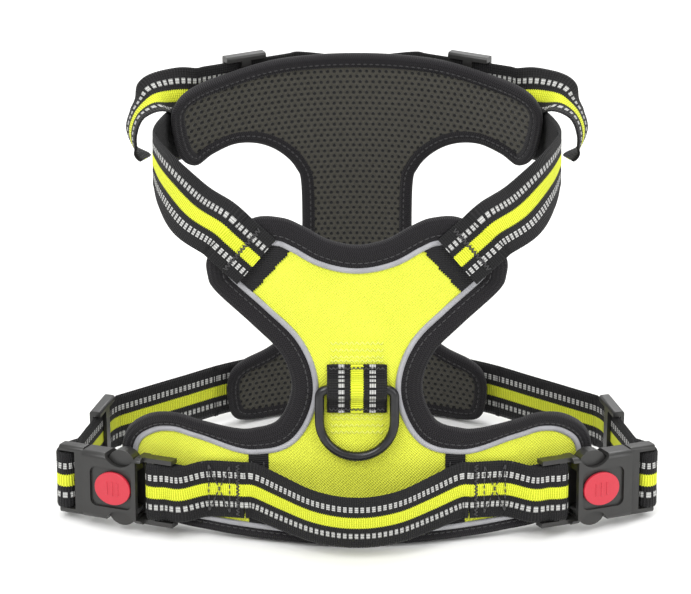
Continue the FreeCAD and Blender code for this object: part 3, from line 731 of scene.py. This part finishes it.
def mesh_relief(x, z):
    """Relief of the spacer mesh: staggered holes sunk into it."""
    row = z / MESH_Z
    across = x / MESH_X + 0.5 * (math.floor(row) % 2)
    dx = (across - math.floor(across) - 0.5) * MESH_X
    dz = (row - math.floor(row) - 0.5) * MESH_Z
    sunk = max(0.0, 1.0 - math.hypot(dx, dz) / (MESH_HOLE * 1.25))
    return min(0.55, 1.1 * sunk)


# ---------------------------------------------------------------- chest panel
chest_loop = smooth_loop(CHEST_OUTLINE, EDGE_STEP)
chest_normals = loop_normals(chest_loop, CHEST_CHORD)


def chest_relief(x, z):
    return noise.noise((x * 0.05, z * 0.05, 9.3)) * 0.3 + 0.1


def chest_outward(x, z, proud):
    """Chest surface with proud counted from its outer face."""
    return on_chest(x, z, PANEL_DEEP + proud)


def chest_panel():
    covered = inset_loop(chest_loop, chest_normals, CHEST_BINDING - 2.4)
    cloth = panel_sheet("chest_cloth", covered, on_chest, PANEL_DEEP, -1.0, "yellow", 1.4,
                        None, chest_relief)
    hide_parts("chest_fabric")
    lining = panel_sheet("chest_pad", covered, on_chest, 0.0, 3.6, "mesh", 0.72, None,
                         mesh_relief)
    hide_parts("chest_lining")
    trim = swept_edge("chest_edge_binding", chest_loop, CHEST_CHORD, CHEST_SECTION, chest_outward,
                      "binding", BINDING_RIPPLE)
    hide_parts("chest_binding")
    pairs = []
    seam = inset_loop(chest_loop, chest_normals, CHEST_SEAM_IN)
    for level, out in ((SEAM_PROUD, Vector((0, 1, 0))), (-PANEL_DEEP - SEAM_PROUD, Vector((0, -1, 0)))):
        ring = [chest_outward(x, z, level) for x, z in np.vstack([seam, seam[:1]])]
        pairs += row_of(ring, out, 2.7)
    thread = stitches("chest_edge_stitches", pairs, "black_thread", 0.28)
    half = 39.0
    stations = [(Vector((0, FRONT_RING_Y - WEB_THICK / 2, FRONT_RING_Z + z)), (1, 0, 0))
                for z in (-half, -half / 2, 0.0, half / 2, half)]
    band = chest_band("chest_web", stations)
    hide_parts("chest_webbing")
    rows = []
    for sign in (-1, 1):
        x = sign * 10.6
        rows += row_of([chest_outward(x, FRONT_RING_Z + z, 1.6) for z in (-37.0, -12.0, 12.0, 37.0)],
                       Vector((0, 1, 0)), 2.8)
    for z in (-37.0, -18.0, 18.0, 37.0):
        rows += row_of([chest_outward(x, FRONT_RING_Z + z, 1.6) for x in (-10.6, 0.0, 10.6)],
                       Vector((0, 1, 0)), 2.8)
    sewn = stitches("chest_web_stitches", rows, "black_thread")
    for piece in (cloth, lining, trim, thread, band, sewn):
        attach(piece, "root")


def chest_band(name, stations):
    """Webbing up the chest, laid onto the panel's curve."""
    band = webbing(name, stations, face=1)
    curve = CHEST_RADIUS + PANEL_DEEP + WEB_THICK
    for vertex in band.data.vertices:
        x = vertex.co.x / MM
        vertex.co.y -= (curve - math.sqrt(curve * curve - x * x)) * MM
    return band


# ---------------------------------------------------------------- D rings and their webbing
def ring_stations():
    """(height, out) of the webbing folded over a ring's bar, out from the surface it is sewn to."""
    flat = WEB_THICK / 2
    reach = RING_TUNNEL + WEB_THICK / 2
    path = [(10.5, flat), (7.5, flat), (5.4, flat + 0.1), (4.2, flat + 0.9)]
    for degrees in (35, 62, 90, 118, 145):
        turn = math.radians(degrees)
        path.append((reach * 1.05 * math.cos(turn), RING_OFFSET + reach * math.sin(turn)))
    path += [(-4.2, flat + 0.9), (-5.4, flat + 0.1), (-7.5, flat), (-10.5, flat)]
    return path


def ring_holders():
    path = ring_stations()
    back = [(lean((0, -out, RING_Z + z)), (1, 0, 0)) for z, out in path]
    front = [(Vector((0, FRONT_RING_Y + out, FRONT_RING_Z + z)), (1, 0, 0)) for z, out in path]
    holder = webbing("back_ring_holder", back, face=1)
    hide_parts("back_ring_webbing")
    other = webbing("front_ring_holder", front, face=-1)
    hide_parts("front_ring_webbing")
    back_rows, front_rows = [], []
    up, out = Vector((0, 0, 1)), Vector((0, 1, 0))
    for z in (19.5, 16.5, 13.5, 11.8, -11.8, -13.5, -16.5, -19.5):
        ends = [on_back(x, RING_Z + z, 0.55) for x in (-11.0, 11.0)]
        back_rows += zigzag(ends[0], ends[1], up, -out, 1.5, 1.05)
    for z in (9.0, -9.0):
        ends = [Vector((x, FRONT_RING_Y + 1.62, FRONT_RING_Z + z)) for x in (-11.0, 11.0)]
        front_rows += zigzag(ends[0], ends[1], up, out, 1.3, 0.85)
        ends = [lean((x, -1.62, RING_Z + z)) for x in (-11.5, 11.5)]
        front_rows += zigzag(ends[0], ends[1], up, -out, 1.1, 0.85)
    sewn = stitches("back_ring_stitches", back_rows, "yellow_thread", 0.24)
    tacks = stitches("front_ring_stitches", front_rows, "black_thread", 0.26)
    for piece in (holder, other, sewn, tacks):
        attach(piece, "root")


# ---------------------------------------------------------------- handle and buckle straps
def handle_half():
    """Stations of the handle from its left sewn end to the middle."""
    up = Vector((0, 0, 1))
    end = Vector((-HANDLE_X, back_y(HANDLE_X, STRAP_OUT), HANDLE_Z))
    rise = end.y + HANDLE_BULGE
    half = [(end, up), (end + Vector((5, -0.07 * rise, 0)), up)]
    for share, out, low, tuck in ((0.33, 0.38, 0.40, -0.06), (0.58, 0.74, 0.78, -0.16),
                                  (0.80, 0.94, 0.95, -0.22)):
        x = -HANDLE_X * (1 - share)
        half.append((Vector((x, end.y - rise * out, HANDLE_Z - HANDLE_DROP * low)), Vector((0, tuck, 1))))
    half.append((Vector((0, -HANDLE_BULGE, HANDLE_Z - HANDLE_DROP)), Vector((0, -0.24, 1))))
    return [(lean(p), lean(a)) for p, a in half]


def flip(stations):
    """Mirror image of stations, left to right."""
    return [(Vector((-p[0], p[1], p[2])), Vector((-a[0], a[1], a[2]))) for p, a in stations]


def handle():
    half = handle_half()
    whole = half + [s for s in reversed(flip(half))][1:]
    for side, sign in (("left", -1), ("right", 1)):
        piece = webbing("handle_" + side, whole, face=1)
        cut(piece, sign)
        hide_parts("handle_strap")
        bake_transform(piece)


def cut(piece, sign):
    """Keeps the half of a piece on one side of the middle plane."""
    work = bmesh.new()
    work.from_mesh(piece.data)
    geometry = work.verts[:] + work.edges[:] + work.faces[:]
    bmesh.ops.bisect_plane(work, geom=geometry, plane_co=(0, 0, 0), plane_no=(-sign, 0, 0),
                           clear_outer=True)
    work.to_mesh(piece.data)
    work.free()


def buckle_straps():
    up = Vector((0, 0, 1))
    top = lean(up)
    route = [(on_back(-HANDLE_X + 0.3, HANDLE_Z, STRAP_OUT), top),
             (on_back(-HANDLE_X - 6, HANDLE_Z, STRAP_OUT), top),
             (on_back(-HANDLE_X - 16, HANDLE_Z - 0.8, STRAP_OUT), top),
             (buckle_local(-3.0, 0.2, 0), top),
             (buckle_local(4.0, 1.2, 0), top),
             (buckle_local(7.6, 2.5, 0), top)]
    for degrees in (75, 40, 0, -40, -75):
        turn = math.radians(degrees)
        route.append((buckle_local(BAR_X + 2.7 * math.cos(turn), 2.75 * math.sin(turn), 0), top))
    route += [(buckle_local(7.0, -2.4, 0), top), (buckle_local(2.0, -1.75, 0), top),
              (buckle_local(-4.0, -1.45, 0), top)]
    for side in ("left", "right"):
        stations = route if side == "left" else flip(route)
        face = -1 if side == "left" else 1
        piece = webbing(side + "_buckle_web", stations, face=face, start=7.0)
        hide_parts(side + "_buckle_strap")
        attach(piece, "root")
        sign = -1 if side == "left" else 1
        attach(buckle_stitches(side, sign), "root")


def buckle_stitches(side, sign):
    """Sewing through the strap and the wing: a bartack, a crossed box and a line."""
    out = Vector((0, -1, 0))
    lift = STRAP_OUT + WEB_THICK / 2 + 0.22

    def at(x, z):
        return on_back(sign * x, HANDLE_Z + z, lift)
    pairs = []
    for x in (50.5, 66.0):
        pairs += zigzag(at(x, -11.4), at(x, 11.4), Vector((1, 0, 0)), out, 1.6, 0.8)
    for a, b in (((54, -10.5), (63, 10.5)), ((54, 10.5), (63, -10.5))):
        pairs += row_of([at(*a), at((a[0] + b[0]) / 2, 0), at(*b)], out, 2.6)
    for x in (54, 63):
        pairs += row_of([at(x, -10.5), at(x, 0), at(x, 10.5)], out, 2.6)
    return stitches(side + "_strap_stitches", pairs, "black_thread")


# ---------------------------------------------------------------- belly straps
AWAY = Vector((0.26, 0.966, 0)).normalized()
ASIDE = Vector((AWAY.y, -AWAY.x, 0))
KNEE = 46.0


def rounded(points, radii):
    """Plan route of straight runs with rounded corners."""
    route = [Vector(points[0])]
    for i in range(1, len(points) - 1):
        corner = Vector(points[i])
        before = (Vector(points[i - 1]) - corner).normalized()
        after = (Vector(points[i + 1]) - corner).normalized()
        half = before.angle(after) / 2
        trim = radii[i - 1] / math.tan(half)
        centre = corner + (before + after).normalized() * radii[i - 1] / math.sin(half)
        first, last = corner + before * trim - centre, corner + after * trim - centre
        for k in range(9):
            route.append(centre + first.slerp(last, k / 8).normalized() * radii[i - 1])
    route.append(Vector(points[-1]))
    return route


def belly_straps():
    bar = buckle_local(MALE_BAR_X, 0, 0)
    bar_plan = Vector((bar.x, bar.y, BELLY_Z))
    up = Vector((0, 0, 1))
    start = bar_plan + AWAY * 13.5
    knee = start + AWAY * KNEE
    sewn, end = chest_at(35.3, 7.9, BELLY_Z), chest_at(22.0, 8.2, BELLY_Z)
    plan = rounded([start, knee, sewn, end], (16.0, 90.0))
    tilt = bar - bar_plan

    def limb(away, aside, share):
        """Point near the plug's bar; the strap leans with the buckle there and stands up further on."""
        return bar_plan + tilt * share + AWAY * away - ASIDE * aside
    across = [lean(up).lerp(up, k) for k in (0.0, 0.4, 1.0)]
    inner = [(limb(14.0, -1.62, 0.6), across[1]), (limb(10.5, -2.1, 0.8), across[1]),
             (limb(5.5, -3.1, 0.95), across[0])]
    turn = []
    for degrees in (-90, -45, 0, 45, 90):
        angle = math.radians(degrees)
        turn.append((limb(-3.6 * math.cos(angle), 3.6 * math.sin(angle), 1.0), across[0]))
    outer = [(limb(5.5, 2.9, 0.95), across[0]), (limb(10.0, 0.9, 0.7), across[1]),
             (limb(14.5, 0.0, 0.0), across[2]), (limb(26.0, 0.0, 0.0), across[2])]
    far = [(p, up) for p in plan[1:]]
    route = inner + turn + outer + [(limb(38.0, 0.0, 0.0), up)] + far
    for side in ("left", "right"):
        stations = route if side == "left" else flip(route)
        piece = webbing(side + "_belly_web", stations, face=-1 if side == "left" else 1, start=3.0,
                        doubled=400.0)
        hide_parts(side + "_belly_strap", side + "_end_loop")
        sign = 1 if side == "left" else -1
        first, last = limb(5.0, 0.0, 1.0), limb(35.0, 0.0, 0.0)
        first.x, last.x = first.x * sign, last.x * sign
        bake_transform(piece)
        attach(belly_stitches(side, sign, plan[-2], plan[-1]), "root")


def belly_stitches(side, sign, first, last):
    """Bartacks where the belly strap's last straight run is sewn to the chest lobe."""
    pairs = []
    along = (last - first).normalized()
    out = Vector((along.y, -along.x, 0))
    if out.y < 0:
        out = -out
    for share in (0.2, 0.5, 0.85):
        spot = first.lerp(last, share) + out * (WEB_THICK / 2 + 0.25)
        ends = [spot + Vector((0, 0, z)) for z in (-11, 11)]
        step, away = along, out
        if sign < 0:
            ends = mirrored(ends)
            step, away = mirrored([along, out])
        pairs += zigzag(ends[0], ends[1], step, away, 1.6, 0.8)
    return stitches(side + "_belly_stitches", pairs, "black_thread")


# ---------------------------------------------------------------- shoulder straps
def shoulder_stations():
    stations = []
    wide = lean((SHOULDER_ACROSS.x, 0, SHOULDER_ACROSS.y))
    for reach in (0.0, 7.5, 15.0, 21.0):
        flat = SHOULDER_MIDDLE + SHOULDER_ALONG * reach
        stations.append((on_back(flat.x, flat.y, STRAP_OUT + 0.8), wide))
    stations += [((-69.0, 33, 139.6), (-0.60, -0.05, -0.78)), ((-79.8, 50, 145.6), (-0.33, 0.16, -0.93)),
                 ((-85.2, 66, 147.5), (-0.10, 0.14, -0.98)), ((-86.8, 80, 147.5), (0, 0.02, -1))]
    stations += [(chest_at(a, 6.55, 146.5), (0, 0, -1)) for a in (50.0, 45.0, 40.0, 35.0)]
    return [(Vector(p), Vector(a)) for p, a in stations]


def loop_stations():
    down = Vector((0, 0, -1))
    inner, outer = chest_at(13.5, 12.0, LOOP_Z), chest_at(40.0, 12.0, LOOP_Z)
    stations = [(chest_at(6.5, 8.6, LOOP_Z - 1.0), down), (inner, down)]
    stations += [(inner.lerp(outer, share), down) for share in (0.1, 0.3, 0.5, 0.7, 0.9)]
    stations += [(outer, down), ((-81.5, 118.0, 160.5), (0.05, -0.62, -0.78)),
                 ((-89.5, 110.5, 161.0), (0.10, -0.96, -0.26)), ((-95.8, 107.0, 156.5), (0.14, -0.98, -0.05)),
                 ((-98.6, 105.0, 149.0), (0.22, -0.97, 0.0)), ((-97.0, 103.5, 141.5), (0.22, -0.97, 0.0)),
                 ((-92.5, 102.0, 137.5), (0.20, -0.98, 0.0))]
    return [(Vector(p), Vector(a)) for p, a in stations]


def shoulder_straps():
    wide = lean((SHOULDER_ACROSS.x, 0, SHOULDER_ACROSS.y))
    along = lean((SHOULDER_ALONG.x, 0, SHOULDER_ALONG.y))
    for side in ("left", "right"):
        turn = flip if side == "right" else list
        sign = 1 if side == "right" else -1
        strap = webbing(side + "_shoulder_web", turn(shoulder_stations()), face=-sign, start=1.0)
        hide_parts(side + "_shoulder_strap")
        curl = webbing(side + "_loop_web", turn(loop_stations()), face=-sign, start=5.0, doubled=66.0)
        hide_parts(side + "_strap_loop")
        flat = SHOULDER_MIDDLE + SHOULDER_ALONG * 8.0
        centre = on_back(flat.x, flat.y, STRAP_OUT + 0.8 + WEB_THICK / 2 + 0.25)
        ends = [centre - wide * 11.3, centre + wide * 11.3]
        step = along
        if sign > 0:
            ends, step = mirrored(ends), Vector((-along.x, along.y, along.z))
        pairs = zigzag(ends[0], ends[1], step, Vector((0, -1, 0)), 2.0, 0.8)
        sewn = stitches(side + "_shoulder_stitches", pairs, "black_thread", 0.30)
        for piece in (strap, curl, sewn):
            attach(piece, "root")


# ---------------------------------------------------------------- moulded and metal parts
def hardware():
    """CAD parts that stay: their own materials, and small rounded edges on the moulded ones."""
    for name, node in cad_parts.items():
        if "lock_button" in name:
            kind = "red"
        elif name in ("back_ring", "front_ring"):
            kind = "metal"
        elif any(word in name for word in ("female_body", "male_base", "prong", "glide")):
            kind = "plastic"
        else:
            continue
        node.data.materials.clear()
        node.data.materials.append(MATERIAL[kind])
        for polygon in node.data.polygons:
            polygon.material_index = 0
        if kind != "metal":
            weld = node.modifiers.new("weld", "WELD")
            weld.merge_threshold = 0.00001
            round_edges = node.modifiers.new("edges", "BEVEL")
            round_edges.width = 0.0006
            round_edges.segments = 3
            round_edges.limit_method = "ANGLE"
            round_edges.angle_limit = math.radians(38)
            round_edges.harden_normals = True


# ---------------------------------------------------------------- studio
LAMPS = (                    # name, place and size in metres, power in watts
    ("key", (-0.7, -1.0, 1.3), 0.9, 16.0), ("fill", (1.1, -0.8, 0.8), 1.0, 8.0),
    ("rim", (0.2, 1.2, 1.2), 0.9, 10.0), ("top", (0.0, 0.0, 1.5), 1.0, 8.0),
)
LAMPS_AIM = Vector((0, 0, 0.08))


def studio():
    bpy.ops.mesh.primitive_plane_add(size=40.0, location=(0, 0, 0))
    floor = bpy.context.object
    floor.name = "studio_floor"
    m = Shade("studio_floor", (0.88, 0.88, 0.87), 0.7)
    floor.data.materials.append(m.material)
    world = bpy.data.worlds.new("studio")
    bpy.context.scene.world = world
    world.use_nodes = True
    world.node_tree.nodes["Background"].inputs[0].default_value = (1.0, 1.0, 1.0, 1)
    world.node_tree.nodes["Background"].inputs[1].default_value = 0.75
    for name, spot, size, power in LAMPS:
        light = bpy.data.lights.new(name, "AREA")
        light.size = size
        light.energy = power
        lamp = bpy.data.objects.new(name, light)
        lamp.location = spot
        lamp.rotation_euler = (LAMPS_AIM - Vector(spot)).to_track_quat("-Z", "Y").to_euler()
        bpy.context.scene.collection.objects.link(lamp)


CAMERA_FAR = 1.3             # metres from the middle of the harness


def camera():
    """Long lens from in front and above, as the harness was photographed."""
    elevation = math.radians(23.0)
    target = place((0, 60, 85))
    eye = bpy.data.cameras.new("camera")
    eye.lens = 156.6
    eye.sensor_width = 36.0
    eye.shift_x = -0.0166
    eye.shift_y = 0.0127
    eye.clip_start = 0.05
    rig = bpy.data.objects.new("camera", eye)
    rig.location = target + Vector((0, -math.cos(elevation), math.sin(elevation))) * CAMERA_FAR
    rig.rotation_euler = (target - rig.location).to_track_quat("-Z", "Y").to_euler()
    bpy.context.scene.collection.objects.link(rig)
    bpy.context.scene.camera = rig
    bpy.context.scene.view_settings.view_transform = "Standard"


camera()
studio()
back_panel()
chest_panel()
ring_holders()
handle()
buckle_straps()
belly_straps()
shoulder_straps()
hardware()
